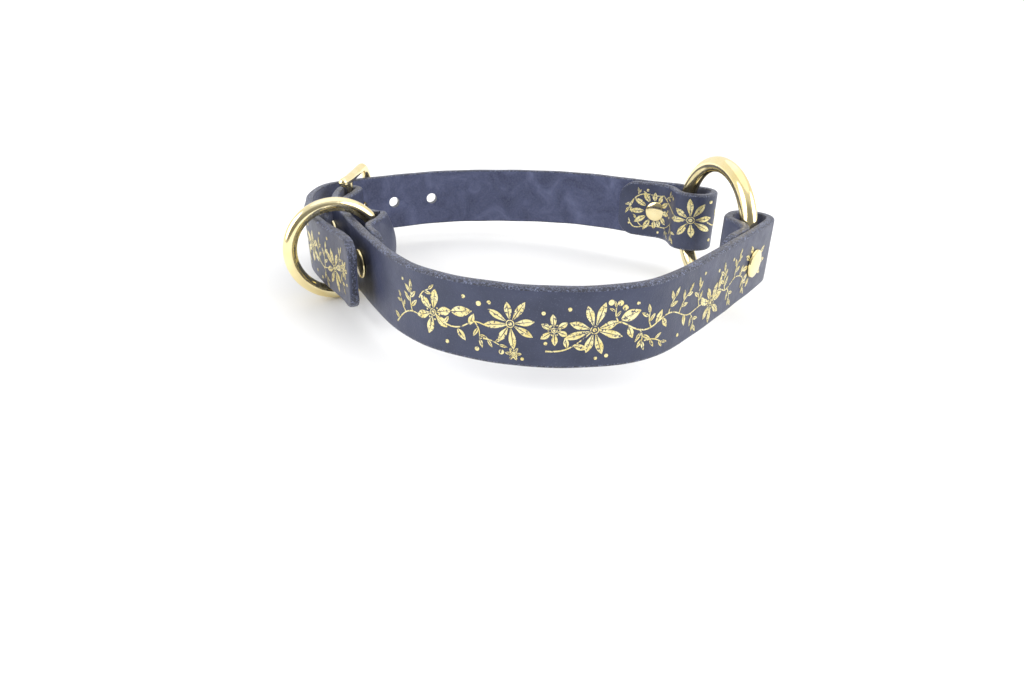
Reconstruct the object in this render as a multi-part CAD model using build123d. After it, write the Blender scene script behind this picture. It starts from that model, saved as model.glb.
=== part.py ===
from build123d import *
import math
import os

# Leather collar of two straps, joined by a large ring on one side and buckled on the other.
# It stands on its edge: Z runs across the strap width and the straps' lower edge is at Z = 0.

# Straps
STRAP_WIDTH = 25.4
STRAP_THICK = 3.2
END_ROUND = 8.0
END_TAB = 9.0
SECTION_STEP = 3.0
MID_HEIGHT = STRAP_WIDTH / 2
PLY_PITCH = STRAP_THICK + 0.3

# Front strap: middle line of the outer ply, from the buckle loop to the joining ring
FRONT_RUN = [
    (-81.6, 39.1), (-81.3, 31.0), (-80.3, 24.5), (-77.7, 15.2), (-74.3, 8.6), (-69.2, -2.0),
    (-63.9, -12.6), (-58.2, -23.6), (-52.2, -34.5), (-42.1, -50.8), (-31.6, -62.0), (-15.7, -70.8),
    (6.5, -75.7), (21.3, -74.9), (36.8, -69.6), (46.0, -61.8), (57.0, -49.6), (71.0, -33.0),
    (80.5, -21.5), (88.0, -12.3), (93.0, -5.5),
]

# Back strap: middle line of the outer ply, from the joining ring to the billet tip
BACK_RUN = [
    (80.5, 45.4), (73.5, 49.7), (62.5, 54.9), (52.0, 60.1), (41.0, 66.2), (29.5, 71.4), (5.6, 76.4),
    (-18.9, 76.9), (-42.9, 73.2), (-65.4, 63.2), (-71.8, 59.9), (-82.2, 53.3), (-87.8, 48.6),
    (-90.5, 42.8), (-91.5, 36.3), (-91.4, 28.5), (-89.2, 17.3), (-86.6, 6.4), (-79.6, -7.0),
    (-73.8, -15.9), (-65.6, -27.9), (-63.7, -31.4),
]

# Turned-back tails, as (distance along the outer ply from the fold, spacing of the two plies)
BUCKLE_FOLD = 4.15
RING_FOLD = 7.5
LEASH_TAIL = [
    (8.0, 7.4), (16.0, 4.8), (22.0, PLY_PITCH), (27.0, PLY_PITCH), (30.5, 4.1), (34.3, 7.4), (39.3, 12.6),
    (45.3, 16.7), (51.2, 13.0), (56.2, 7.4), (60.0, 4.1), (63.0, PLY_PITCH), (69.0, PLY_PITCH),
]
FRONT_TAIL = [(4.0, 14.6), (9.0, 10.4), (13.5, 5.2), (17.0, PLY_PITCH), (22.0, PLY_PITCH), (26.0, PLY_PITCH)]
BACK_TAIL = [(4.0, 14.6), (9.0, 10.6), (14.0, 5.2), (18.0, PLY_PITCH), (23.0, PLY_PITCH), (28.0, PLY_PITCH)]

# Rings: centre, turn of the ring's plane from the XZ plane, middle-line radius, wire radius
JOINING_RING = ((79.7, 18.8, 15.0), -75.8, 25.5, 3.25)
LEASH_RING = ((-73.4, -6.4, MID_HEIGHT), 26.0, 17.5, 2.6)

# Buckle
HEEL_BAR = (-77.3, 39.3)
FRONT_BAR = (-74.8, 63.4)
HEEL_BAR_RADIUS = 1.4
FRAME_RADIUS = 2.0
FRAME_HALF_HEEL = 16.5
FRAME_HALF_FRONT = 18.3
FRAME_CORNER = 7.0
SHOULDER = 7.0

# Prong
PRONG_HEIGHT = 3.0
PRONG_THICK = 1.8
PRONG_CURL = 0.9
PRONG_FIT = 0.06
PRONG_OVERHANG = 3.4
PRONG_SLOT = (10.0, 4.4, 16.0)
PRONG_SLOT_CENTRE = (3.0, 0.0, -1.0)

# Adjustment holes in the billet, on both sides of the one the prong has pulled longer
HOLE_RADIUS = 2.5
HOLE_PITCH = 19.05
HOLES_EACH_SIDE = 2
PRONG_HOLE_AT = 170.3
PRONG_HOLE_PULL = 1.5
PRONG_HOLE_LENGTH = 8.0

# Rivets: outer cap with a solid shank, inner post with a hollow barrel
CAP_RADIUS = 5.4
CAP_THICK = 1.6
POST_RADIUS = 4.5
POST_THICK = 1.2
BARREL_RADIUS = 2.0
SHANK_RADIUS = 1.2
SHANK_FIT = 0.05
SHANK_SHORT = 0.5
HEAD_ROUNDING = 0.6
BUCKLE_RIVET = 25.6
LEASH_RIVET = 66.1
FRONT_RIVET = 16.4
BACK_RIVET = 19.4

# Resting stance on both rings and the buckle frame, in degrees
STANCE_PITCH = -0.29
STANCE_ROLL = -2.39


def along(line, distance):
    """Point, heading and inward (left-hand) normal of a ply at a distance along it."""
    point = line.position_at(distance, position_mode=PositionMode.LENGTH)
    heading = line.tangent_at(distance, position_mode=PositionMode.LENGTH)
    return point, heading, Vector(-heading.Y, heading.X, 0)


def tail(line, spacings, fold_radius, from_end):
    """Fold at one end of an outer ply and the tail turned back inside it."""
    fold = JernArc(line @ 1, line % 1, fold_radius, 180)
    if not from_end:
        fold = JernArc(line @ 0, -(line % 0), fold_radius, -180)
    points = [fold @ 1]
    for distance, spacing in spacings:
        point, heading, inward = along(line, line.length - distance if from_end else distance)
        points.append(point + inward * spacing)
    ends = (fold % 1, -heading if from_end else heading)
    return [fold, Spline(*points, tangents=ends, tangent_scalars=(0.5, 0.5))]


def end_tab(line):
    """Straight end of a strap, past the end of a line, with its two corners rounded."""
    point = line @ 1
    outward = line % 1
    plane = Plane(origin=(point.X, point.Y, 0), x_dir=outward, z_dir=Vector(outward.Y, -outward.X, 0))
    outline = Rectangle(END_TAB, STRAP_WIDTH, align=(Align.MIN, Align.MIN))
    outline = fillet(outline.vertices().group_by(Axis.X)[-1], END_ROUND)
    return extrude(plane * outline, STRAP_THICK / 2, both=True)


def ply(line):
    """Upright leather along one middle line, drawn between its two offset sides."""
    count = math.ceil(line.length / SECTION_STEP)
    points = [line @ (step / count) for step in range(count + 1)]
    headings = [line % (step / count) for step in range(count + 1)]
    inner, outer = [
        Spline(
            *[point + Vector(-heading.Y, heading.X, 0) * side for point, heading in zip(points, headings)],
            tangents=(headings[0], headings[-1]),
            tangent_scalars=(1, 1),
        )
        for side in (STRAP_THICK / 2, -STRAP_THICK / 2)
    ]
    outline = make_face([inner, Line(inner @ 1, outer @ 1), outer, Line(outer @ 0, inner @ 0)])
    return extrude(outline, STRAP_WIDTH, dir=(0, 0, 1))


def ribbon(lines):
    """All plies of one strap fused end to end."""
    strap = ply(lines[0])
    for line in lines[1:]:
        strap += ply(line)
    return strap


def wire_ring(ring):
    """Closed ring of round wire standing upright."""
    centre, turn, radius, wire = ring
    return Pos(*centre) * Rot(0, 0, turn) * Rot(90, 0, 0) * Torus(radius, wire)


def rivet(line, distance):
    """Cap, post and the room they take, clamping an outer ply and its tail at a distance."""
    point, _, inward = along(line, distance)
    plane = Plane(origin=(point.X, point.Y, MID_HEIGHT), z_dir=-inward)
    outer = STRAP_THICK / 2
    stack = STRAP_THICK + PLY_PITCH
    bottom = (Align.CENTER, Align.CENTER, Align.MIN)
    top = (Align.CENTER, Align.CENTER, Align.MAX)
    cap = Pos(0, 0, outer) * Cylinder(CAP_RADIUS, CAP_THICK, align=bottom)
    cap = fillet(cap.edges().group_by(Axis.Z)[-1], CAP_THICK * HEAD_ROUNDING)
    cap += Pos(0, 0, outer) * Cylinder(SHANK_RADIUS, stack - SHANK_SHORT, align=top)
    post = Pos(0, 0, outer - stack) * Cylinder(POST_RADIUS, POST_THICK, align=top)
    post = fillet(post.edges().group_by(Axis.Z)[0], POST_THICK * HEAD_ROUNDING)
    post += Pos(0, 0, outer - stack) * Cylinder(BARREL_RADIUS, stack, align=bottom)
    post -= Pos(0, 0, outer - stack) * Cylinder(SHANK_RADIUS + SHANK_FIT, stack, align=bottom)
    seat = cap + post + Pos(0, 0, outer) * Cylinder(BARREL_RADIUS, stack, align=top)
    return plane * cap, plane * post, plane * seat


def buckle_plane():
    """Upright plane through the heel bar (its origin) and the front bar."""
    span = Vector(FRONT_BAR[0] - HEEL_BAR[0], FRONT_BAR[1] - HEEL_BAR[1], 0)
    return Plane(origin=(*HEEL_BAR, MID_HEIGHT), x_dir=span, z_dir=Vector(span.Y, -span.X, 0)), span.length


def buckle_frame():
    """Front bar and rails swept in one piece, with a heel bar and rounded shoulders."""
    plane, reach = buckle_plane()
    corners = [
        (-SHOULDER, FRAME_HALF_HEEL), (0, FRAME_HALF_HEEL), (reach, FRAME_HALF_FRONT),
        (reach, -FRAME_HALF_FRONT), (0, -FRAME_HALF_HEEL), (-SHOULDER, -FRAME_HALF_HEEL),
    ]
    path = plane * FilletPolyline(*corners, radius=FRAME_CORNER)
    frame = sweep(Plane(origin=path @ 0, z_dir=path % 0) * Circle(FRAME_RADIUS), path=path)
    frame += Pos(*HEEL_BAR, MID_HEIGHT) * Cylinder(HEEL_BAR_RADIUS, 2 * FRAME_HALF_HEEL)
    for end in (path @ 0, path @ 1):
        frame += Pos(*end) * Sphere(FRAME_RADIUS)
    return frame


def buckle_prong():
    """Flat prong curled round the heel bar and resting on the outside of the front bar."""
    plane, reach = buckle_plane()
    bore = HEEL_BAR_RADIUS + PRONG_FIT
    length = reach + PRONG_OVERHANG
    offset = FRAME_RADIUS + PRONG_FIT + PRONG_THICK / 2
    shank = plane * Pos(length / 2, 0, -offset) * Box(length, PRONG_HEIGHT, PRONG_THICK)
    curl = Pos(*HEEL_BAR, MID_HEIGHT) * Cylinder(bore + PRONG_CURL, PRONG_HEIGHT)
    return curl + shank - Pos(*HEEL_BAR, MID_HEIGHT) * Cylinder(bore, STRAP_WIDTH)


def prong_slot():
    """Clearance for the prong through the closed end of the buckle loop."""
    plane, _ = buckle_plane()
    return plane * Pos(*PRONG_SLOT_CENTRE) * Box(*PRONG_SLOT)


def hole(line, distance, length):
    """Round-ended hole through the leather at mid width."""
    point, heading, inward = along(line, distance)
    plane = Plane(origin=(point.X, point.Y, MID_HEIGHT), x_dir=heading, z_dir=inward)
    outline = Circle(HOLE_RADIUS)
    if length > 2 * HOLE_RADIUS:
        outline = SlotOverall(length, 2 * HOLE_RADIUS)
    return extrude(plane * outline, STRAP_THICK, both=True)


def build():
    """All nodes of the collar, standing level."""
    front_line = Spline(*FRONT_RUN, tangents=((0, -1, 0), (0.575, 0.818, 0)))
    back_line = Spline(*BACK_RUN)
    leash_tail = tail(front_line, LEASH_TAIL, BUCKLE_FOLD, from_end=False)
    front_tail = tail(front_line, FRONT_TAIL, RING_FOLD, from_end=True)
    back_tail = tail(back_line, BACK_TAIL, RING_FOLD, from_end=False)

    rivets = {
        "buckle_rivet": (front_line, BUCKLE_RIVET),
        "leash_rivet": (front_line, LEASH_RIVET),
        "front_rivet": (front_line, front_line.length - FRONT_RIVET),
        "back_rivet": (back_line, BACK_RIVET),
    }
    nodes = {}
    seats = {}
    for name, (line, distance) in rivets.items():
        nodes[f"{name}_cap"], nodes[f"{name}_post"], seats[name] = rivet(line, distance)

    front = ribbon([front_line, *leash_tail, *front_tail]) + end_tab(leash_tail[-1]) + end_tab(front_tail[-1])
    back = ribbon([back_line, *back_tail]) + end_tab(back_line) + end_tab(back_tail[-1])
    for step in range(-HOLES_EACH_SIDE, HOLES_EACH_SIDE + 1):
        distance, length = PRONG_HOLE_AT, PRONG_HOLE_LENGTH
        if step:
            distance, length = PRONG_HOLE_AT + PRONG_HOLE_PULL + step * HOLE_PITCH, 2 * HOLE_RADIUS
        back -= hole(back_line, distance, length)

    nodes["front_strap"] = front - prong_slot() - [seats[name] for name in rivets if name != "back_rivet"]
    nodes["back_strap"] = back - seats["back_rivet"]
    nodes["joining_ring"] = wire_ring(JOINING_RING)
    nodes["leash_ring"] = wire_ring(LEASH_RING)
    nodes["buckle_frame"] = buckle_frame()
    nodes["buckle_prong"] = buckle_prong()
    return nodes


def place(nodes):
    """Set the collar down in its resting stance, origin at the bottom centre of its box."""
    tilted = {name: Rot(STANCE_PITCH, STANCE_ROLL, 0) * shape for name, shape in nodes.items()}
    box = Compound(list(tilted.values())).bounding_box()
    shift = Pos(-box.center().X, -box.center().Y, -box.min.Z)
    return {name: shift * shape for name, shape in tilted.items()}


if __name__ == "__main__":
    os.makedirs("parts", exist_ok=True)
    for name, shape in place(build()).items():
        export_step(shape, f"parts/{name}.step")
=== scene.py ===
import math

import bpy
import bmesh
import numpy as np
from mathutils import Matrix, Vector


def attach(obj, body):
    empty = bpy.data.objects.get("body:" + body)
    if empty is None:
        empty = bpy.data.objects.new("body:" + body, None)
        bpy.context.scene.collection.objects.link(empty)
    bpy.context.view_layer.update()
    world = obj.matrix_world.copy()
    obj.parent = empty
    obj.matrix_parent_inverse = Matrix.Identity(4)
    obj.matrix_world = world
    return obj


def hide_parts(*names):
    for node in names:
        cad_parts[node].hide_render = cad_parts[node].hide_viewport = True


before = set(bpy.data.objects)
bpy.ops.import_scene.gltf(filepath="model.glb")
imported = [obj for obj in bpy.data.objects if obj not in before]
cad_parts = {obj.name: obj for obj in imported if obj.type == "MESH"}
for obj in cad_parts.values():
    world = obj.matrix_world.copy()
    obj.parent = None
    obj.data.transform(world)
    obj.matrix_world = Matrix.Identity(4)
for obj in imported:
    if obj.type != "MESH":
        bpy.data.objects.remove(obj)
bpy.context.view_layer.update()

# ---------------------------------------------------------------- dimensions, in mm
WIDTH = 25.4
THICK = 3.2
MID = WIDTH / 2
END_ROUND = 8.0
END_TAB = 9.0
PLY_PITCH = THICK + 0.3

FRONT_RUN = [
    (-81.6, 39.1), (-81.3, 31.0), (-80.3, 24.5), (-77.7, 15.2), (-74.3, 8.6), (-69.2, -2.0),
    (-63.9, -12.6), (-58.2, -23.6), (-52.2, -34.5), (-42.1, -50.8), (-31.6, -62.0), (-15.7, -70.8),
    (6.5, -75.7), (21.3, -74.9), (36.8, -69.6), (46.0, -61.8), (57.0, -49.6), (71.0, -33.0),
    (80.5, -21.5), (88.0, -12.3), (93.0, -5.5),
]
BACK_RUN = [
    (80.5, 45.4), (73.5, 49.7), (62.5, 54.9), (52.0, 60.1), (41.0, 66.2), (29.5, 71.4), (5.6, 76.4),
    (-18.9, 76.9), (-42.9, 73.2), (-65.4, 63.2), (-71.8, 59.9), (-82.2, 53.3), (-87.8, 48.6),
    (-90.5, 42.8), (-91.5, 36.3), (-91.4, 28.5), (-89.2, 17.3), (-86.6, 6.4), (-79.6, -7.0),
    (-73.8, -15.9), (-65.6, -27.9), (-63.7, -31.4),
]
BUCKLE_FOLD = 4.15
RING_FOLD = 7.5
LEASH_TAIL = [
    (8.0, 7.4), (16.0, 4.8), (22.0, PLY_PITCH), (27.0, PLY_PITCH), (30.5, 4.1), (34.3, 7.4), (39.3, 12.6),
    (45.3, 16.7), (51.2, 13.0), (56.2, 7.4), (60.0, 4.1), (63.0, PLY_PITCH), (69.0, PLY_PITCH),
]
FRONT_TAIL = [(4.0, 14.6), (9.0, 10.4), (13.5, 5.2), (17.0, PLY_PITCH), (22.0, PLY_PITCH), (26.0, PLY_PITCH)]
BACK_TAIL = [(4.0, 14.6), (9.0, 10.6), (14.0, 5.2), (18.0, PLY_PITCH), (23.0, PLY_PITCH), (28.0, PLY_PITCH)]

JOINING_RING = ((79.7, 18.8, 15.0), -75.8, 25.5, 3.25)
LEASH_RING = ((-73.4, -6.4, MID), 26.0, 17.5, 2.6)

HEEL_BAR = (-77.3, 39.3)
FRONT_BAR = (-74.8, 63.4)
HEEL_BAR_RADIUS = 1.4
FRAME_RADIUS = 2.0
FRAME_HALF_HEEL = 16.5
FRAME_HALF_FRONT = 18.3
FRAME_CORNER = 7.0
SHOULDER = 7.0
PRONG_HEIGHT = 3.0
PRONG_THICK = 1.8
PRONG_CURL = 0.9
PRONG_FIT = 0.06      # play between the prong and the wire it touches
PRONG_BEND = 4.2      # where the curl has run into the straight shank
PRONG_NOSE = 1.4      # length of the rounded point
PRONG_OVERHANG = 3.4

HOLE_RADIUS = 2.5
HOLE_PITCH = 19.05
PRONG_HOLE_AT = 170.3
PRONG_HOLE_PULL = 1.5
PRONG_HOLE_LENGTH = 8.0

CAP_RADIUS = 5.4
CAP_THICK = 1.6
CAP_DOME = 0.88
POST_RADIUS = 4.5
POST_THICK = 1.2
BUCKLE_RIVET = 25.6
LEASH_RIVET = 66.1
FRONT_RIVET = 16.4
BACK_RIVET = 19.4

TAIL_SHARE = 0.84     # thickness of the front strap's skived tail, as a share of full
END_KEPT = 0.995      # share of a wire's round end that is kept, so that it closes on a small face
PETAL_AT = 0.52       # where a petal's width is measured, as a share of the flower's radius
PETAL_WIDE = 0.76     # width of a petal, as a share of the room it has there
FOIL_REACH = 11.3     # furthest height of a petal from the strap's mid width

CAMERA_AT = (-0.005, -0.248, 0.0952)     # in metres, from the level collar's origin
CAMERA_PITCH = 63.12
CAMERA_ROLL = 0.41
CAMERA_LENS = 22.85

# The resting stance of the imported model: tilt in degrees, then shift in mm
STANCE = Matrix.Rotation(math.radians(-0.29), 3, "X") @ Matrix.Rotation(math.radians(-2.39), 3, "Y")
SHIFT = Vector((-0.8403, -0.7245, 10.5153))


def placed(p):
    """A point of the level collar, in mm, to the row frame, in metres."""
    return (STANCE @ Vector(p) + SHIFT) / 1000


# ---------------------------------------------------------------- middle lines
def cubic(points, start=None, end=None, step=0.6):
    """Smooth curve through points, sampled about every step mm."""
    p = np.array(points, float)
    t = np.concatenate([[0], np.cumsum(np.hypot(*np.diff(p, axis=0).T))])
    n, h = len(p), np.diff(t)
    a, rhs = np.zeros((n, n)), np.zeros((n, 2))
    for i in range(1, n - 1):
        a[i, i - 1: i + 2] = h[i - 1], 2 * (h[i - 1] + h[i]), h[i]
        rhs[i] = 6 * ((p[i + 1] - p[i]) / h[i] - (p[i] - p[i - 1]) / h[i - 1])
    a[0, 0] = a[-1, -1] = 1
    if start is not None:
        a[0, :2] = 2 * h[0], h[0]
        rhs[0] = 6 * ((p[1] - p[0]) / h[0] - np.array(start))
    if end is not None:
        a[-1, -2:] = h[-1], 2 * h[-1]
        rhs[-1] = 6 * (np.array(end) - (p[-1] - p[-2]) / h[-1])
    m = np.linalg.solve(a, rhs)
    u = np.linspace(0, t[-1], max(3, int(t[-1] / step) + 1))
    k = np.clip(np.searchsorted(t, u, side="right") - 1, 0, n - 2)
    left, right, hk = (u - t[k])[:, None], (t[k + 1] - u)[:, None], h[k][:, None]
    bent = m[k] * right ** 3 / (6 * hk) + m[k + 1] * left ** 3 / (6 * hk)
    flat = (p[k] / hk - m[k] * hk / 6) * right + (p[k + 1] / hk - m[k + 1] * hk / 6) * left
    return bent + flat


class Line:
    """A polyline with its lengths, for reading points, headings and right-hand normals."""

    def __init__(self, points):
        keep = [0]
        for i in range(1, len(points)):
            if np.hypot(*(points[i] - points[keep[-1]])) > 1e-3:
                keep.append(i)
        self.p = np.asarray(points)[keep]
        self.s = np.concatenate([[0], np.cumsum(np.hypot(*np.diff(self.p, axis=0).T))])
        self.length = self.s[-1]

    def at(self, s):
        return np.stack([np.interp(s, self.s, self.p[:, i]) for i in (0, 1)], -1)

    def heading(self, s, reach=0.7):
        low, high = np.clip(s - reach, 0, self.length), np.clip(s + reach, 0, self.length)
        d = self.at(high) - self.at(low)
        return d / np.hypot(d[..., 0], d[..., 1])[..., None]

    def right(self, s):
        h = self.heading(s)
        return np.stack([h[..., 1], -h[..., 0]], -1)


def fold_and_tail(line, radius, spacings, from_end):
    """Fold and turned-back tail at one end of an outer ply, as points leaving the ply."""
    s0, sign = (line.length, 1) if from_end else (0.0, -1)
    point, heading = line.at(s0), line.heading(s0, 0.3) * sign
    inward = -line.right(s0)
    angles = np.linspace(0, math.pi, 40)[:, None]
    arc = point + inward * radius * (1 - np.cos(angles)) + heading * radius * np.sin(angles)
    anchors = [arc[-1]]
    for distance, spacing in spacings:
        s = s0 - sign * distance
        anchors.append(line.at(s) - line.right(s) * spacing)
    end = -line.heading(s0 - sign * spacings[-1][0]) * sign
    tail = cubic(anchors, start=-heading * 0.5, end=end * 0.5)
    tab = tail[-1] + end * np.linspace(0, END_TAB, 12)[:, None]
    return np.vstack([arc, tail, tab])


front_run = Line(cubic(FRONT_RUN, start=(0, -1), end=(0.575, 0.818)))
back_run = Line(cubic(BACK_RUN))
leash_side = fold_and_tail(front_run, BUCKLE_FOLD, LEASH_TAIL, False)[::-1]
front_side = fold_and_tail(front_run, RING_FOLD, FRONT_TAIL, True)
back_side = fold_and_tail(back_run, RING_FOLD, BACK_TAIL, False)[::-1]
tip = back_run.p[-1] + back_run.heading(back_run.length) * np.linspace(0, END_TAB, 12)[:, None]
front_line = Line(np.vstack([leash_side, front_run.p, front_side]))
back_line = Line(np.vstack([back_side, back_run.p, tip]))
FRONT_START = Line(leash_side).length   # where the outer ply starts along each whole strap
BACK_START = Line(back_side).length


def strap_warp(table):
    """Sideways shift (towards the grain side) of a strap: edges' cupping and lean along it."""
    s, cup, lean = np.array(table, float).T

    def shift(at, b):
        v = b / MID
        return np.interp(at, s, cup) * v ** 2 + np.interp(at, s, lean) * v

    return shift


# (distance along the whole strap, cupping of both edges, lean of the upper edge), in mm
APEX = FRONT_START - 58.0
front_warp = strap_warp([
    (0, 0, 0), (APEX - 16, 0, 0), (APEX - 5, -3.2, 0), (APEX, -4.6, 0), (APEX + 5, -3.2, 0),
    (APEX + 16, 0, 0), (FRONT_START, 0, 0), (FRONT_START + 60, 0.3, -0.3),
    (FRONT_START + 150, 0.5, -0.5), (FRONT_START + 272, 0, 0), (front_line.length, 0, 0),
])
back_warp = strap_warp([
    (0, 0.3, 0), (20, 0, 0), (BACK_START, 0, 0), (BACK_START + 90, 0.4, 0.6), (BACK_START + 165, 0, 0),
    (back_line.length - 30, 0, 0), (back_line.length, -0.6, -0.5),
])


def surface(line, warp, s, b, a):
    """Level-collar point at length s, height b from mid width and offset a to the grain side."""
    p = line.at(s) + line.right(s) * (a + warp(s, b))[..., None]
    return np.stack([p[..., 0], p[..., 1], MID + b], -1)


# ---------------------------------------------------------------- materials
def material(name, build):
    m = bpy.data.materials.new(name)
    m.use_nodes = True
    nodes, links = m.node_tree.nodes, m.node_tree.links
    nodes.clear()
    out = nodes.new("ShaderNodeOutputMaterial")
    shader = nodes.new("ShaderNodeBsdfPrincipled")
    links.new(shader.outputs["BSDF"], out.inputs["Surface"])
    coords = nodes.new("ShaderNodeTexCoord").outputs["Object"]
    build(nodes, links, shader, coords)
    return m


def noise(nodes, links, coords, scale, detail=4.0, rough=0.55, distortion=0.0):
    n = nodes.new("ShaderNodeTexNoise")
    n.inputs["Scale"].default_value = scale
    n.inputs["Detail"].default_value = detail
    n.inputs["Roughness"].default_value = rough
    n.inputs["Distortion"].default_value = distortion
    links.new(coords, n.inputs["Vector"])
    return n.outputs["Fac"]


def ramp(nodes, links, value, stops):
    r = nodes.new("ShaderNodeValToRGB")
    while len(r.color_ramp.elements) < len(stops):
        r.color_ramp.elements.new(0.5)
    for element, (place, colour) in zip(r.color_ramp.elements, stops):
        element.position = place
        element.color = (*colour, 1)
    links.new(value, r.inputs["Fac"])
    return r.outputs["Color"]


def grey(v):
    return (v, v, v)


def mix(nodes, links, factor, one, two):
    m = nodes.new("ShaderNodeMix")
    m.data_type = "RGBA"
    links.new(factor, m.inputs["Factor"])
    for socket, value in ((m.inputs[6], one), (m.inputs[7], two)):
        if isinstance(value, tuple):
            socket.default_value = (*value, 1)
        else:
            links.new(value, socket)
    return m.outputs[2]


def bump(nodes, links, shader, height, strength, distance, chain=None):
    b = nodes.new("ShaderNodeBump")
    b.inputs["Strength"].default_value = strength
    b.inputs["Distance"].default_value = distance
    links.new(height, b.inputs["Height"])
    if chain is not None:
        links.new(chain, b.inputs["Normal"])
    links.new(b.outputs["Normal"], shader.inputs["Normal"])
    return b.outputs["Normal"]


GRAIN_DARK, GRAIN_LIGHT = (0.024, 0.028, 0.058), (0.046, 0.053, 0.102)


def grain_side(nodes, links, shader, coords):
    """Smooth dyed face: faint cloudy dye, fine pores and soft creases under a light finish."""
    cloud = noise(nodes, links, coords, 55, 5, 0.6, 0.4)
    colour = ramp(nodes, links, cloud, [(0.32, GRAIN_DARK), (0.72, GRAIN_LIGHT)])
    fleck = noise(nodes, links, coords, 2600, 2)
    flecks = ramp(nodes, links, fleck, [(0.60, grey(0)), (0.76, grey(0.45))])
    links.new(mix(nodes, links, flecks, colour, (0.12, 0.13, 0.18)), shader.inputs["Base Color"])
    gloss = ramp(nodes, links, noise(nodes, links, coords, 240, 3), [(0.3, grey(0.36)), (0.7, grey(0.50))])
    links.new(gloss, shader.inputs["Roughness"])
    shader.inputs["Specular IOR Level"].default_value = 0.6
    shader.inputs["Specular Tint"].default_value = (0.80, 0.87, 1.0, 1.0)
    shader.inputs["Coat Weight"].default_value = 0.12
    shader.inputs["Coat Roughness"].default_value = 0.32
    pores = nodes.new("ShaderNodeTexVoronoi")
    pores.inputs["Scale"].default_value = 1500
    links.new(coords, pores.inputs["Vector"])
    fine = bump(nodes, links, shader, pores.outputs["Distance"], 0.16, 0.0004)
    bump(nodes, links, shader, noise(nodes, links, coords, 160, 5), 0.25, 0.0006, fine)


def flesh_side(nodes, links, shader, coords):
    """Napped inner face: mottled, paler where it is rubbed, matt."""
    patches = noise(nodes, links, coords, 85, 6, 0.65, 0.8)
    colour = ramp(nodes, links, patches, [
        (0.28, (0.034, 0.040, 0.086)), (0.52, (0.070, 0.082, 0.160)), (0.78, (0.135, 0.155, 0.27)),
    ])
    fibre = noise(nodes, links, coords, 1300, 4, 0.7)
    fibres = ramp(nodes, links, fibre, [(0.42, grey(0.0)), (0.70, grey(0.35))])
    links.new(mix(nodes, links, fibres, colour, (0.15, 0.165, 0.25)), shader.inputs["Base Color"])
    shader.inputs["Roughness"].default_value = 0.85
    shader.inputs["Specular IOR Level"].default_value = 0.3
    shader.inputs["Sheen Weight"].default_value = 0.35
    shader.inputs["Sheen Roughness"].default_value = 0.5
    fine = bump(nodes, links, shader, fibre, 0.45, 0.0005)
    bump(nodes, links, shader, patches, 0.3, 0.0008, fine)


def cut_edge(nodes, links, shader, coords):
    """Burnished cut edge: near black with pale waxy specks."""
    fibre = noise(nodes, links, coords, 1500, 5, 0.75)
    long_fibre = noise(nodes, links, coords, 330, 3)
    colour = ramp(nodes, links, fibre, [
        (0.30, (0.010, 0.011, 0.020)), (0.49, (0.030, 0.034, 0.060)), (0.66, (0.23, 0.27, 0.44)),
    ])
    links.new(mix(nodes, links, ramp(nodes, links, long_fibre, [(0.4, grey(0)), (0.7, grey(0.5))]),
                  colour, (0.02, 0.02, 0.032)), shader.inputs["Base Color"])
    links.new(ramp(nodes, links, fibre, [(0.3, grey(0.5)), (0.7, grey(0.3))]), shader.inputs["Roughness"])
    shader.inputs["Coat Weight"].default_value = 0.15
    shader.inputs["Coat Roughness"].default_value = 0.3
    bump(nodes, links, shader, fibre, 0.6, 0.0006)


def polished_brass(nodes, links, shader, coords):
    """Bright lacquered brass with faint drawing marks and tarnish in the colour."""
    tone = noise(nodes, links, coords, 90, 3)
    links.new(ramp(nodes, links, tone, [(0.3, (0.90, 0.74, 0.36)), (0.7, (0.97, 0.86, 0.54))]),
              shader.inputs["Base Color"])
    shader.inputs["Metallic"].default_value = 1.0
    links.new(ramp(nodes, links, noise(nodes, links, coords, 700, 4), [(0.3, grey(0.07)), (0.75, grey(0.17))]),
              shader.inputs["Roughness"])
    bump(nodes, links, shader, noise(nodes, links, coords, 260, 4), 0.12, 0.0003)


def gold_foil(nodes, links, shader, coords):
    """Worn hot-stamped foil: the dark leather shows where the foil has flaked."""
    worn = noise(nodes, links, coords, 1250, 4, 0.7)
    flaked = ramp(nodes, links, worn, [(0.54, grey(0)), (0.60, grey(1))])
    foil = ramp(nodes, links, noise(nodes, links, coords, 420, 3),
                [(0.3, (0.80, 0.66, 0.25)), (0.7, (0.94, 0.86, 0.50))])
    links.new(mix(nodes, links, flaked, foil, GRAIN_LIGHT), shader.inputs["Base Color"])
    links.new(ramp(nodes, links, worn, [(0.54, grey(0.75)), (0.60, grey(0))]), shader.inputs["Metallic"])
    shader.inputs["Roughness"].default_value = 0.34
    bump(nodes, links, shader, worn, 0.4, 0.0002)


GRAIN, FLESH, EDGE = (material(n, f) for n, f in (
    ("leather_grain", grain_side), ("leather_flesh", flesh_side), ("leather_edge", cut_edge)))
BRASS = material("brass_polished", polished_brass)
FOIL = material("foil_gold", gold_foil)
LEATHER = (GRAIN, FLESH, EDGE)


# ---------------------------------------------------------------- mesh helpers
SHARP = math.radians(44)


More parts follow.
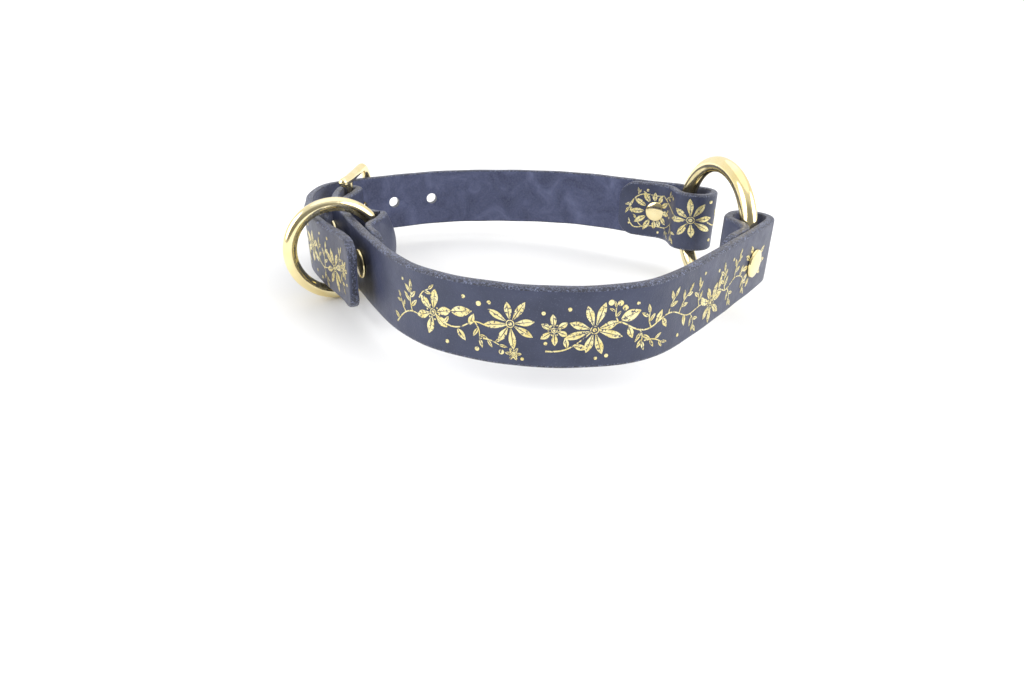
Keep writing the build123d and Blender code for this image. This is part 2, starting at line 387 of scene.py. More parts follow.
def mesh_object(name, points, faces, materials, body=None, slot=None, indices=None, smooth=True):
    """Mesh from level-collar points in mm, set in place, shaded and riding on its body."""
    mesh = bpy.data.meshes.new(name)
    mesh.from_pydata([placed(p) for p in points], [], faces)
    for m in materials:
        mesh.materials.append(m)
    if indices is not None:
        mesh.polygons.foreach_set("material_index", indices)
    work = bmesh.new()
    work.from_mesh(mesh)
    bmesh.ops.recalc_face_normals(work, faces=work.faces)
    work.to_mesh(mesh)
    work.free()
    mesh.polygons.foreach_set("use_smooth", [smooth] * len(mesh.polygons))
    mesh.set_sharp_from_angle(angle=SHARP)
    made = bpy.data.objects.new(name, mesh)
    bpy.context.scene.collection.objects.link(made)
    if body:
        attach(made, body)
    return made


def loft(rings, closed=False):
    """Faces joining equal rings of points, ring after ring, with end caps unless closed."""
    points = [p for ring in rings for p in ring]
    n, count = len(rings[0]), len(rings)
    faces = []
    for i in range(count if closed else count - 1):
        j = (i + 1) % count
        faces += [(i * n + k, i * n + (k + 1) % n, j * n + (k + 1) % n, j * n + k) for k in range(n)]
    if not closed:
        faces += [tuple(range(n))[::-1], tuple((count - 1) * n + k for k in range(n))]
    return points, faces


def apply_cut(obj, cutters):
    """Cuts every cutter out of obj and keeps the result as its mesh."""
    for cutter in cutters:
        b = obj.modifiers.new("cut", "BOOLEAN")
        b.operation, b.solver, b.object = "DIFFERENCE", "EXACT", cutter
    bpy.context.view_layer.update()
    graph = bpy.context.evaluated_depsgraph_get()
    cut = bpy.data.meshes.new_from_object(obj.evaluated_get(graph), depsgraph=graph)
    cut.set_sharp_from_angle(angle=SHARP)
    obj.modifiers.clear()
    obj.data = cut
    for cutter in cutters:
        bpy.data.objects.remove(cutter)


# ---------------------------------------------------------------- straps
ACROSS = 14
CORNER_STEPS = 3
GRAIN_BEVEL, FLESH_BEVEL = 0.95, 0.55


def section():
    """Outline of the strap's cut end as (a, b, kind): offset, height and which face it starts."""
    ring = []
    for side, bevel, kind in ((1, GRAIN_BEVEL, 0), (-1, FLESH_BEVEL, 1)):
        span = MID - bevel
        for i in range(ACROSS + 1):
            ring.append((side * THICK / 2, side * span * (2 * i / ACROSS - 1), kind if i < ACROSS else 2))
        following = FLESH_BEVEL if side > 0 else GRAIN_BEVEL
        for j in range(1, CORNER_STEPS + 1):
            t = math.pi / 2 * j / CORNER_STEPS
            ring.append((side * (THICK / 2 - bevel + bevel * math.cos(t)),
                         side * (span + bevel * math.sin(t)), 2))
        for j in range(CORNER_STEPS):
            t = math.pi / 2 * (1 - j / CORNER_STEPS)
            ring.append((-side * (THICK / 2 - following + following * math.cos(t)),
                         side * (MID - following + following * math.sin(t)), 2))
    return ring


def end_share(distance):
    """Half width of a rounded strap end at a distance from its tip, as a share of full."""
    d = np.clip(distance, 0, END_ROUND)
    return (MID - END_ROUND + np.sqrt(END_ROUND ** 2 - (END_ROUND - d) ** 2)) / MID


def end_thin(distance):
    """Thickness share close to an end, where the cut edge is rubbed round."""
    d = np.clip(distance, 0, 0.9) / 0.9
    return 0.45 + 0.55 * np.sqrt(1 - (1 - d) ** 2)


def wander(s, b, seed):
    """Small unevenness of hand-cut leather, in mm."""
    return (0.10 * np.sin(s / 7.3 + seed) * np.cos(b / 5.1 + seed * 2)
            + 0.06 * np.sin(s / 2.9 + b / 3.7 + seed * 3))


def strap(name, line, warp, thickness, seed):
    """One leather strap swept along its whole middle line with round ends."""
    ends = np.concatenate([[0, 0.12, 0.3, 0.6, 0.9], np.arange(1.3, END_ROUND + 1, 0.5)])
    middle = np.arange(END_ROUND + 1.5, line.length - END_ROUND - 1.5, 1.1)
    stations = np.concatenate([ends, middle, (line.length - ends)[::-1]])
    outline = section()
    a = np.array([o[0] for o in outline])
    b = np.array([o[1] for o in outline])
    rings = []
    for s in stations:
        from_end = min(s, line.length - s)
        half, thin = end_share(from_end), end_thin(from_end) * np.interp(s, *thickness)
        at = np.full(len(a), s)
        offset = a * thin + wander(at, b, seed) * 0.5 * (np.abs(a) > 1)
        height = b * half + 0.05 * np.sin(s / 3.1 + seed) * np.sign(b)
        rings.append([tuple(p) for p in surface(line, warp, at, height, offset)])
    points, faces = loft(rings)
    n = len(outline)
    kinds = [outline[k % n][2] for _ in range(len(stations) - 1) for k in range(n)] + [2, 2]
    return mesh_object(name, points, faces, LEATHER, "collar", "leather", kinds)


def plug(name, centre, normal, radius, depth, stretch=0.0):
    """Round or stadium-shaped cutter through a strap at mid width."""
    n = Vector((*normal, 0)).normalized()
    along = Vector((-n.y, n.x, 0))
    rings = []
    for side in (-1, 1):
        ring = []
        for i in range(32):
            t = 2 * math.pi * i / 32
            x = radius * math.cos(t) + math.copysign(stretch, math.cos(t))
            rise = Vector((0, 0, radius * math.sin(t)))
            ring.append(Vector((*centre, MID)) + along * x + rise + n * side * depth)
        rings.append([tuple(p) for p in ring])
    points, faces = loft(rings)
    return mesh_object(name, points, faces, LEATHER, indices=[2] * len(faces), smooth=False)


front_thickness = ([0, 30, FRONT_START - 14, FRONT_START], [TAIL_SHARE, TAIL_SHARE, 0.92, 1.0])
back_thickness = ([0, 20, BACK_START, BACK_START + 20], [0.78, 0.82, 0.95, 1.0])
front_strap = strap("strap_front", front_line, front_warp, front_thickness, 0.7)
back_strap = strap("strap_back", back_line, back_warp, back_thickness, 2.1)

cutters = []
for step in (-2, -1, 0, 1, 2):
    s = BACK_START + PRONG_HOLE_AT + (step * HOLE_PITCH + PRONG_HOLE_PULL if step else 0.0)
    stretch = 0.0 if step else PRONG_HOLE_LENGTH / 2 - HOLE_RADIUS
    cutters.append(plug(f"hole_{step}", back_line.at(s), back_line.right(s), HOLE_RADIUS, 2.6, stretch))
apply_cut(back_strap, cutters)

span = Vector((FRONT_BAR[0] - HEEL_BAR[0], FRONT_BAR[1] - HEEL_BAR[1], 0))
reach = span.length
span.normalize()
inside = Vector((span.y, -span.x, 0))
heel = Vector((*HEEL_BAR, MID))


def buckle_point(x, y, z=0.0):
    """Level-collar point from the buckle's own plane: along, up and towards the neck."""
    return heel + span * x + Vector((0, 0, y)) + inside * z


slot_ring = [[tuple(buckle_point(x, y, z)) for x, y in ((-2, -2.2), (8, -2.2), (8, 2.2), (-2, 2.2))]
             for z in (-9, 7)]
slot_points, slot_faces = loft(slot_ring)
apply_cut(front_strap, [mesh_object("prong_slot", slot_points, slot_faces, LEATHER,
                                    indices=[2] * len(slot_faces), smooth=False)])
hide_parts("front_strap")
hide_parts("back_strap")


# ---------------------------------------------------------------- brass
def tube(path, radii, sides=24, round_ends=True):
    """Round wire through 3-D points, with rounded ends if wanted."""
    path = [Vector(p) for p in path]
    radii = [radii] * len(path) if isinstance(radii, (int, float)) else list(radii)
    count = len(path)
    headings = []
    for i in range(count):
        before = path[max(0, i - 1)]
        after = path[min(count - 1, i + 1)]
        headings.append((after - before).normalized())
    if round_ends:
        steps = [math.sin(math.pi / 2 * k / 5) for k in range(1, 6)]
        for end, sign in ((0, -1), (-1, 1)):
            tip, way, r = path[end], headings[end] * sign, radii[end]
            extra = [(tip + way * r * u * END_KEPT, r * math.sqrt(max(1e-4, 1 - (u * END_KEPT) ** 2)))
                     for u in steps]
            if end == 0:
                path = [p for p, _ in extra[::-1]] + path
                radii = [q for _, q in extra[::-1]] + radii
                headings = [headings[0]] * 5 + headings
            else:
                path += [p for p, _ in extra]
                radii += [q for _, q in extra]
                headings += [headings[-1]] * 5
    side = headings[0].orthogonal().normalized()
    rings = []
    for p, r, way in zip(path, radii, headings):
        side = (side - way * side.dot(way)).normalized()
        up = way.cross(side)
        rings.append([tuple(p + (side * math.cos(t) + up * math.sin(t)) * r)
                      for t in (2 * math.pi * k / sides for k in range(sides))])
    return loft(rings)


def join(parts):
    """Several (points, faces) sets as one."""
    points, faces = [], []
    for p, f in parts:
        faces += [tuple(k + len(points) for k in face) for face in f]
        points += p
    return points, faces


def wire_ring(name, node, spec):
    """Closed ring of round wire standing in place of a CAD ring."""
    centre, turn, radius, wire = spec
    along = Vector((math.cos(math.radians(turn)), math.sin(math.radians(turn)), 0))
    axis = along.cross(Vector((0, 0, 1)))
    rings = []
    for t in (2 * math.pi * k / 160 for k in range(160)):
        out = along * math.cos(t) + Vector((0, 0, math.sin(t)))
        middle = Vector(centre) + out * radius
        rings.append([tuple(middle + (out * math.cos(u) + axis * math.sin(u)) * wire)
                      for u in (2 * math.pi * k / 32 for k in range(32))])
    ring = mesh_object(name, *loft(rings, closed=True), [BRASS], node, "brass")
    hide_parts(node)


def rounded(corners, radius, step=0.45):
    """Flat path through corners, each rounded to the radius."""
    points = [Vector(corners[0])]
    for before, corner, after in zip(corners, corners[1:], corners[2:]):
        c = Vector(corner)
        u, w = (Vector(before) - c).normalized(), (Vector(after) - c).normalized()
        half = u.angle(w) / 2
        centre = c + (u + w).normalized() * radius / math.sin(half)
        first, last = (c + v * radius / math.tan(half) - centre for v in (u, w))
        a0, a1 = math.atan2(first.y, first.x), math.atan2(last.y, last.x)
        turn = (a1 - a0 + math.pi) % (2 * math.pi) - math.pi
        count = max(3, int(abs(turn) * radius / step))
        points += [centre + Vector((math.cos(a), math.sin(a))) * radius
                   for a in (a0 + turn * k / count for k in range(count + 1))]
    return points + [Vector(corners[-1])]


def buckle_frame():
    """Cast frame: round rails and front bar in one bend, with a thinner heel bar across."""
    corners = [
        (-SHOULDER, FRAME_HALF_HEEL), (0, FRAME_HALF_HEEL), (reach, FRAME_HALF_FRONT),
        (reach, -FRAME_HALF_FRONT), (0, -FRAME_HALF_HEEL), (-SHOULDER, -FRAME_HALF_HEEL),
    ]
    path = rounded(corners, FRAME_CORNER)
    rail = tube([buckle_point(*p) for p in path], FRAME_RADIUS)
    heights = [FRAME_HALF_HEEL * k / 12 for k in range(-12, 13)]
    flare = [HEEL_BAR_RADIUS + 0.35 * max(0, (abs(y) - 13.0) / 3.5) ** 2 for y in heights]
    bar = tube([buckle_point(0, y) for y in heights], flare, round_ends=False)
    frame_piece = mesh_object("buckle_body", *join([rail, bar]), [BRASS], "buckle", "brass")
    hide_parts("buckle_frame")


def buckle_prong():
    """Flat prong: a thin curl round the heel bar running into a thicker straight shank."""
    curl = HEEL_BAR_RADIUS + PRONG_FIT + PRONG_CURL / 2
    offset = FRAME_RADIUS + PRONG_FIT + PRONG_THICK / 2
    path, thick = [], []
    for degrees in range(-32, 256, 8):
        t = math.radians(degrees)
        path.append((curl * math.cos(t), curl * math.sin(t)))
        thick.append(PRONG_CURL)
    first = path[-1]
    for k in range(1, 13):
        u = k / 12
        path.append((first[0] + (PRONG_BEND - first[0]) * u,
                     first[1] + (-offset - first[1]) * (1 - (1 - u) ** 2)))
        thick.append(PRONG_CURL + (PRONG_THICK - PRONG_CURL) * min(1, u * 1.15))
    length = reach + PRONG_OVERHANG
    for k in range(1, 31):
        path.append((PRONG_BEND + (length - PRONG_BEND) * k / 30, -offset))
        thick.append(PRONG_THICK)
    count = len(path)
    rings = []
    for i, ((x, z), t) in enumerate(zip(path, thick)):
        before, after = Vector(path[max(0, i - 1)]), Vector(path[min(count - 1, i + 1)])
        way = (after - before).normalized()
        normal = Vector((-way.y, way.x))
        left = length - x if i > 60 else 9.0
        nose = math.sqrt(max(0.05, 1 - (1 - min(left, PRONG_NOSE) / PRONG_NOSE) ** 2))
        wide = PRONG_HEIGHT / 2 * (0.55 + 0.45 * nose) * (1.0 if i < 46 else 0.97)
        ring = []
        for k in range(24):
            a = 2 * math.pi * k / 24
            across = math.copysign(abs(math.cos(a)) ** 0.45, math.cos(a)) * wide
            deep = math.copysign(abs(math.sin(a)) ** 0.55, math.sin(a)) * t / 2 * nose
            ring.append(tuple(buckle_point(x + normal.x * deep, across, z + normal.y * deep)))
        rings.append(ring)
    prong = mesh_object("prong_body", *loft(rings), [BRASS], "prong", "brass")
    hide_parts("buckle_prong")


def lathe(line, s, profile, name, node):
    """Turned rivet part about the strap's normal, from (radius, offset) points on the axis."""
    point, out = line.at(s), line.right(s)
    centre, normal = Vector((*point, MID)), Vector((*out, 0))
    side, up = Vector((-normal.y, normal.x, 0)), Vector((0, 0, 1))
    rings = []
    for radius, height in profile:
        middle = centre + normal * height
        rings.append([tuple(middle + (side * math.cos(t) + up * math.sin(t)) * max(radius, 0.01))
                      for t in (2 * math.pi * k / 48 for k in range(48))])
    made = mesh_object(name, *loft(rings), [BRASS], "collar", "brass")
    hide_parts(node)


def rivet(label, line, s):
    """Cap with its shank, and post with its hollow barrel."""
    outer = THICK / 2
    stack = THICK + PLY_PITCH
    rim = [(CAP_RADIUS - 0.15, 0.0), (CAP_RADIUS, 0.22), (CAP_RADIUS, 0.5), (CAP_RADIUS - 0.14, 0.78)]
    dome = [(CAP_RADIUS * math.sin(a), CAP_THICK - CAP_DOME + CAP_DOME * math.cos(a)) for a in
            (math.radians(d) for d in (74, 66, 57, 48, 39, 30, 20, 10, 0))]
    cap = [(0, outer - stack + 0.5), (1.2, outer - stack + 0.5), (1.2, outer)]
    cap += [(r, outer + h) for r, h in rim + dome]
    lathe(line, s, cap, f"rivet_{label}_cap", f"{label}_rivet_cap")
    seat = -(PLY_PITCH + TAIL_SHARE * THICK / 2)
    bottom = outer - stack - POST_THICK
    post = [(0, seat + 0.2), (1.25, seat + 0.2), (1.25, outer), (2.0, outer), (2.0, seat),
            (POST_RADIUS - 0.12, seat), (POST_RADIUS, seat - 0.2), (POST_RADIUS, seat - 0.45)]
    height = seat - 0.45 - bottom
    post += [(POST_RADIUS * math.sin(a), bottom + height * (1 - math.cos(a))) for a in
             (math.radians(d) for d in (80, 70, 60, 48, 36, 24, 12, 0))]
    lathe(line, s, post, f"rivet_{label}_post", f"{label}_rivet_post")


wire_ring("ring_joining", "joining_ring", JOINING_RING)
wire_ring("ring_leash", "leash_ring", LEASH_RING)
buckle_frame()
buckle_prong()
RIVETS = (
    ("buckle", front_line, FRONT_START + BUCKLE_RIVET),
    ("leash", front_line, FRONT_START + LEASH_RIVET),
    ("front", front_line, FRONT_START + front_run.length - FRONT_RIVET),
    ("back", back_line, BACK_START + BACK_RIVET),
)
for label, line, s in RIVETS:
    rivet(label, line, s)


# ---------------------------------------------------------------- stamped foil
class Foil:
    """Ornament stamped on one strap's grain side, as thin plates bent to the leather."""

    def __init__(self, line, warp, thickness, seed, origin):
        self.line, self.warp, self.thickness, self.seed, self.origin = line, warp, thickness, seed, origin
        self.parts = []

    def strip(self, one, two, closed=False):
        """Plate between two edge curves of (length, height) points."""
        one, two = np.asarray(one, float), np.asarray(two, float)
        s = np.stack([one[:, 0], two[:, 0], two[:, 0], one[:, 0]], 1) + self.origin
        b = np.stack([one[:, 1], two[:, 1], two[:, 1], one[:, 1]], 1)
        lift = np.array([0.08, 0.08, -0.05, -0.05])[None, :]
        a = THICK / 2 * np.interp(s, *self.thickness) + wander(s, b, self.seed) * 0.5 + lift
        points = surface(self.line, self.warp, s, b, a)
        self.parts.append(loft([[tuple(p) for p in ring] for ring in points], closed=closed))

    @staticmethod
    def turned(c, angle, x, y):
        ca, sa = math.cos(math.radians(angle)), math.sin(math.radians(angle))
        return np.stack([c[0] + x * ca - y * sa, c[1] + x * sa + y * ca], 1)

    def leaf(self, c, angle, start, length, width, fullness=0.9, vein=0.13):
        """Leaf or petal in two halves with a bare mid vein."""
        t = np.linspace(0, 1, 10)
        half = width / 2 * np.sin(math.pi * (0.05 + 0.93 * t ** fullness))
        slit = np.minimum(vein * (1 - t ** 3), half * 0.5)
        x = start + length * t
        for side in (1, -1):
            self.strip(self.turned(c, angle, x, side * slit), self.turned(c, angle, x, side * half))

    def stem(self, points, width=0.5, tail_width=0.3):
        middle = cubic(points, step=0.5)
        d = np.gradient(middle, axis=0)
        normal = np.stack([-d[:, 1], d[:, 0]], 1) / np.hypot(d[:, 0], d[:, 1])[:, None]
        half = np.linspace(width, tail_width, len(middle))[:, None] / 2
        self.strip(middle + normal * half, middle - normal * half)

    def dot(self, c, radius):
        t = np.linspace(0.05, math.pi - 0.05, 9)
        x, y = -radius * np.cos(t), radius * np.sin(t)
        self.strip(self.turned(c, 0, x, y), self.turned(c, 0, x, -y))

    def ring(self, c, radius, width):
        t = np.linspace(0, 2 * math.pi, 24, endpoint=False)
        out = np.stack([np.cos(t), np.sin(t)], 1)
        centre = np.array(c)
        self.strip(centre + out * (radius + width / 2), centre + out * (radius - width / 2), closed=True)

    def flower(self, c, radius, petals, turn=0.0, heart=1.0):
        """Open flower: heart, ring and petals of slightly uneven length."""
        self.dot(c, heart * 0.5)
        self.ring(c, heart * 0.95, 0.28)
        width = 2 * math.pi * radius * PETAL_AT / petals * PETAL_WIDE
        for k in range(petals):
            angle = turn + 360 * k / petals + 5 * math.sin(3.1 * k + c[0])
            length = (radius * 1.08 - heart * 1.25) * (1 + 0.14 * math.sin(2.3 * k + c[0]))
            length = min(length, self.room(c, angle) - heart * 1.25)
            self.leaf(c, angle, heart * 1.25, length, width, fullness=1.25)
            if petals < 8:
                between = self.turned(c, angle + 180 / petals, np.array([heart * 2.1]), np.array([0.0]))
                self.dot(tuple(between[0]), 0.28)

    def room(self, c, angle):
        """Distance from c to the margin of the strap in a direction."""
        rise = math.sin(math.radians(angle))
        return 99.0 if abs(rise) < 1e-3 else (FOIL_REACH - math.copysign(1, rise) * c[1]) / abs(rise)

    def sprig(self, base, tip, leaves=3, size=3.0):
        """Small stem with leaves on both sides and one at its end."""
        base, tip = np.array(base, float), np.array(tip, float)
        d = tip - base
        angle = math.degrees(math.atan2(d[1], d[0]))
        bow = np.array([-d[1], d[0]]) * 0.10
        self.stem([base, (base + tip) / 2 + bow, tip], 0.42, 0.26)
        for k in range(leaves):
            u = (k + 1) / (leaves + 0.6)
            at = tuple(base + d * u + bow * (1 - (2 * u - 1) ** 2))
            side = 1 if k % 2 else -1
            self.leaf(at, angle + side * 46, 0.25, size * (1.3 - 0.25 * u), size * 0.44)
        self.leaf(tuple(tip), angle, 0.1, size * 1.15, size * 0.42)

    def build(self, name):
        mesh_object(name, *join(self.parts), [FOIL], "collar")


foil = Foil(front_line, front_warp, front_thickness, 0.7, FRONT_START)
foil.stem([(101, -8.7), (104.5, -5.0), (109.6, -2.3), (114, -2.2), (118.0, -0.6)])
foil.stem([(119.6, -0.2), (124.5, -2.8), (129, -2.2), (133.2, 0.1), (138, -0.9), (143.2, 0.6)])
foil.stem([(154.4, -7.1), (159.5, -6.6), (164.5, -3.6), (167.6, -0.8)])
foil.stem([(169.4, -0.2), (172.6, -0.4), (175.4, 1.6), (178, 0.6), (180.8, -1.1), (185, -2.0), (189.2, -0.3),
           (193.2, 0.9), (198.5, -0.6), (205, -3.3), (212, -2.6), (219.6, -4.1)])
foil.stem([(221.9, -3.8), (226.5, -1.2), (231.6, -3.1), (239, -0.9), (246.4, -2.3)])
foil.flower((118.8, 0.1), 6.6, 6, 20, 1.1)
foil.flower((144.0, 0.9), 7.0, 8, 12, 1.2)
foil.flower((156.8, -0.3), 4.3, 6, 35, 0.8)
foil.flower((168.4, -0.3), 7.6, 8, 22, 1.25)
foil.flower((220.8, -4.3), 6.8, 7, 10, 1.1)
foil.flower((145.2, -8.6), 2.1, 6, 0, 0.5)
foil.sprig((109.6, -2.3), (109.4, 4.6), 4, 3.2)
foil.sprig((106.5, -3.8), (103.8, 0.4), 2, 2.2)
foil.sprig((113.2, 3.4), (117.2, 7.2), 1, 2.4)
foil.sprig((133.2, 0.1), (134.8, -5.0), 2, 2.6)
foil.sprig((134.8, -5.0), (140.8, -6.2), 2, 2.2)
foil.sprig((175.4, 1.6), (174.4, 6.3), 2, 1.8)
foil.sprig((182.2, -1.4), (183.2, -5.6), 3, 2.7)
foil.sprig((184.0, -5.6), (190.6, -7.6), 3, 2.4)
foil.sprig((186.2, -1.6), (185.4, 3.0), 2, 2.6)
foil.sprig((193.2, 0.9), (196.0, 5.4), 2, 3.0)
foil.sprig((199.0, -0.8), (204.0, 4.6), 3, 3.0)
foil.sprig((206.0, -3.2), (209.0, -8.2), 3, 2.8)
foil.sprig((212.0, -2.6), (211.0, 4.4), 3, 3.0)
foil.sprig((231.6, -3.1), (230.0, 4.0), 4, 3.2)
foil.sprig((233.0, -2.6), (236.4, -8.0), 3, 2.8)
foil.sprig((239.0, -0.9), (241.5, 5.8), 3, 3.0)
foil.sprig((246.4, -2.3), (248.8, -7.4), 3, 2.6)
for at, angle, length, width in (
        ((125.2, 1.8), 12, 7.0, 3.4), ((127.4, -3.2), -50, 4.2, 2.0), ((131.4, -1.4), 70, 4.0, 1.9),
        ((176.0, 2.4), 20, 6.4, 3.6), ((178.6, -0.2), -70, 3.8, 2.0), ((188.0, -1.0), 62, 4.4, 2.2),
        ((162.4, -5.2), -15, 4.0, 1.9), ((160.6, -6.0), 100, 3.2, 1.6), ((102.6, -7.0), 150, 3.0, 1.5),
        ((226.4, -1.2), 80, 5.0, 2.3), ((216.0, -3.4), 130, 4.2, 2.0), ((202.0, -2.2), -80, 4.0, 2.0),
        ((244.0, -1.8), 60, 4.2, 2.0), ((190.6, 0.2), -60, 3.8, 1.8), ((123.0, -2.4), 60, 2.6, 1.3)):
    foil.leaf(at, angle, 0.2, length, width)
for at, radius in (
        ((137.6, 6.9), 0.6), ((134.4, 6.1), 0.8), ((141.6, -8.4), 0.8), ((124.0, -8.3), 0.65),
        ((153.6, 5.0), 0.6), ((154.4, -4.6), 0.55), ((161.0, 6.4), 0.6), ((172.8, 8.1), 0.9),
        ((175.6, 7.7), 0.9), ((177.2, 6.1), 0.9), ((181.2, 7.0), 0.55), ((172.2, -8.8), 0.6),
        ((169.0, -9.4), 0.5), ((134.0, -8.6), 0.7), ((129.6, 7.6), 0.6), ((147.8, -10.0), 0.5),
        ((105.2, 7.4), 0.5), ((224.8, 6.0), 0.6), ((214.0, 8.2), 0.6), ((236.4, 6.8), 0.6),
        ((199.2, -8.4), 0.6)):
    foil.dot(at, radius)
for angle, length in (
        (150, 4.6), (178, 5.4), (206, 4.8), (122, 3.6), (236, 3.6), (28, 4.4), (-4, 5.0), (-36, 4.2)):
    foil.leaf((256.8, -0.3), angle, 5.7, length, 1.9)
foil.build("foil_front")

foil = Foil(back_line, back_warp, back_thickness, 2.1, 0.0)
foil.flower((41.6, 1.4), 8.0, 8, 10, 1.5)
foil.stem([(22.0, 7.7), (26.5, 5.0), (30.5, 3.4), (35.0, 1.8)])
foil.stem([(5.2, -4.6), (8.0, -8.4), (13.0, -7.6), (19.2, -7.1), (25.0, -6.6), (31.0, -3.0)])
foil.stem([(5.0, 0.0), (7.4, 5.0), (12.4, 7.6), (18.0, 7.2), (22.0, 7.7)])
foil.stem([(48.0, 0.6), (53.0, -1.6), (58.0, 0.4), (62.5, -2.0)])
foil.sprig((7.0, 4.4), (5.0, 0.6), 2, 2.8)
foil.sprig((9.6, 6.4), (9.2, 8.2), 1, 1.8)
foil.sprig((24.0, 6.4), (28.0, 8.4), 2, 2.4)
foil.sprig((12.0, -7.8), (9.2, -4.6), 1, 2.4)
foil.sprig((24.0, -6.8), (27.0, -9.4), 2, 2.0)
foil.sprig((30.0, -3.6), (33.4, -8.6), 3, 2.6)
foil.sprig((53.0, -1.6), (55.4, 4.6), 3, 3.0)
foil.sprig((58.0, 0.4), (60.4, -6.4), 3, 3.0)
for at, radius in (((13.4, 9.4), 0.6), ((5.6, -7.0), 0.5), ((20.4, -9.8), 0.6), ((31.6, 8.6), 0.7),
                   ((48.6, 9.4), 0.7), ((50.4, -8.0), 0.7), ((26.4, 1.4), 0.6), ((28.4, -1.0), 0.5)):
    foil.dot(at, radius)
for angle, length in ((92, 3.8), (122, 5.6), (152, 6.4), (184, 7.0), (214, 6.2), (244, 5.4), (274, 3.8),
                      (62, 3.6), (30, 4.8), (-2, 5.2), (-34, 4.6), (-62, 3.4)):
    foil.leaf((17.2, 0.0), angle, 4.8, length, 2.4)
foil.build("foil_tail")

foil = Foil(back_line, back_warp, back_thickness, 2.1, back_line.length - 70)
foil.flower((51.2, -1.6), 7.4, 8, 15, 1.3)
foil.flower((63.4, 1.8), 3.6, 6, 0, 0.8)
foil.flower((28.0, 0.6), 6.4, 6, 25, 1.2)
foil.stem([(10.0, -3.0), (16.0, 0.8), (21.0, 1.2), (26.8, 0.4)])
foil.stem([(29.2, 0.4), (34.0, -2.4), (39.6, -4.4), (45.0, -3.2), (50.0, -2.0)])
foil.stem([(52.4, -1.4), (56.5, 1.0), (60.0, 0.2), (62.6, 1.5)])
foil.sprig((35.4, -3.0), (36.6, 3.4), 3, 2.8)
foil.sprig((39.6, -4.4), (41.6, -9.0), 2, 2.6)
foil.sprig((41.4, -4.4), (43.6, 3.6), 3, 2.8)
foil.sprig((16.0, 0.8), (17.6, 6.6), 3, 2.8)
foil.sprig((18.0, 1.0), (20.6, -5.6), 3, 2.8)
foil.sprig((57.0, 1.0), (59.4, 6.4), 2, 2.4)
foil.sprig((57.0, 0.8), (61.0, -5.4), 2, 2.4)
for at, radius in (((36.2, -9.8), 0.7), ((46.2, 8.4), 0.6), ((66.4, -3.0), 0.6), ((12.0, 4.2), 0.6),
                   ((23.6, 8.0), 0.6), ((38.8, 8.4), 0.6), ((30.6, -8.6), 0.6)):
    foil.dot(at, radius)
foil.build("foil_billet")

foil = Foil(back_line, back_warp, back_thickness, 2.1, BACK_START)
for k, start in enumerate((30.0, 56.0, 82.0)):
    way = 1 if k % 2 else -1
    foil.stem([(start, -2.0 * way), (start + 5, 1.2 * way), (start + 10.5, 0.6 * way)])
    foil.stem([(start + 12.5, 0.2 * way), (start + 18, -2.6 * way), (start + 22, -1.4 * way),
               (start + 26, 2.0 * way)])
    foil.flower((start + 11.5, 0.4 * way), 6.4 + 0.5 * k, 6 + 2 * (k % 2), 20 * k, 1.15)
    foil.sprig((start + 4, 0.6 * way), (start + 2.6, 6.8 * way), 3, 2.9)
    foil.sprig((start + 18.4, -2.6 * way), (start + 20.0, -8.0 * way), 3, 2.7)
    foil.sprig((start + 21, -1.8 * way), (start + 22.6, 5.0 * way), 3, 2.9)
    foil.leaf((start + 17.0, -2.2 * way), 40 * way, 0.2, 4.4, 2.1)
    foil.dot((start + 5.6, -6.0 * way), 0.7)
    foil.dot((start + 17.6, 7.0 * way), 0.6)
foil.build("foil_back")


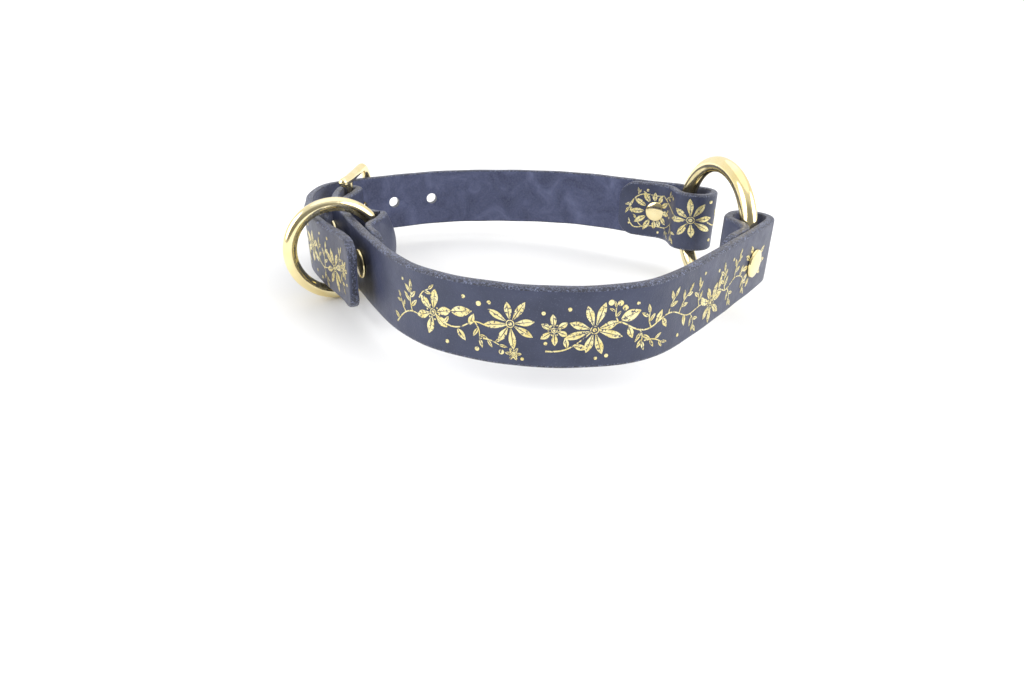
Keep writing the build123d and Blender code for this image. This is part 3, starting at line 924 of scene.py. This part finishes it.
# ---------------------------------------------------------------- camera, floor and light
camera_data = bpy.data.cameras.new("camera")
camera = bpy.data.objects.new("camera", camera_data)
bpy.context.scene.collection.objects.link(camera)
camera_data.sensor_width = 36.0
camera_data.lens = CAMERA_LENS
camera_data.clip_start = 0.01
camera_data.clip_end = 30.0
camera.matrix_world = (
    Matrix.Translation(SHIFT / 1000) @ STANCE.to_4x4() @ Matrix.Translation(CAMERA_AT)
    @ Matrix.Rotation(math.radians(CAMERA_PITCH), 4, "X") @ Matrix.Rotation(math.radians(CAMERA_ROLL), 4, "Z")
)
bpy.context.scene.camera = camera
bpy.context.scene.view_settings.view_transform = "Standard"


def floor_paper(nodes, links, shader, coords):
    """White studio paper, very slightly uneven."""
    links.new(ramp(nodes, links, noise(nodes, links, coords, 3.0, 2), [(0.3, grey(0.90)), (0.7, grey(0.93))]),
              shader.inputs["Base Color"])
    shader.inputs["Roughness"].default_value = 0.8
    shader.inputs["Specular IOR Level"].default_value = 0.15


PAPER = material("paper_white", floor_paper)
bpy.ops.mesh.primitive_circle_add(vertices=96, radius=6.0, fill_type="NGON", location=(0, 0, -0.0002))
floor = bpy.context.object
floor.name = "studio_floor"
floor.data.materials.append(PAPER)


def soft_sun(name, place, strength, spread):
    data = bpy.data.lights.new(name, "SUN")
    data.energy, data.angle = strength, math.radians(spread)
    lamp = bpy.data.objects.new(name, data)
    bpy.context.scene.collection.objects.link(lamp)
    lamp.location = place
    lamp.rotation_euler = (-Vector(place)).to_track_quat("-Z", "Y").to_euler()


soft_sun("light_left", (-1.0, -0.42, 0.55), 1.7, 46)
soft_sun("light_right", (1.0, -0.30, 0.55), 1.6, 46)
soft_sun("light_top", (0.1, 0.25, 1.0), 0.55, 70)

world = bpy.data.worlds.new("studio")
world.use_nodes = True
bpy.context.scene.world = world
nodes, links = world.node_tree.nodes, world.node_tree.links
split = nodes.new("ShaderNodeSeparateXYZ")
links.new(nodes.new("ShaderNodeTexCoord").outputs["Generated"], split.inputs["Vector"])
across = nodes.new("ShaderNodeMath")
across.operation = "MULTIPLY_ADD"
across.inputs[1].default_value = across.inputs[2].default_value = 0.5
links.new(split.outputs["Y"], across.inputs[0])
links.new(ramp(nodes, links, across.outputs["Value"],
               [(0.0, grey(0.22)), (0.13, grey(0.30)), (0.22, grey(0.72)), (0.55, grey(0.90)), (0.8, grey(1.0))]),
          nodes["Background"].inputs["Color"])
nodes["Background"].inputs["Strength"].default_value = 1.05
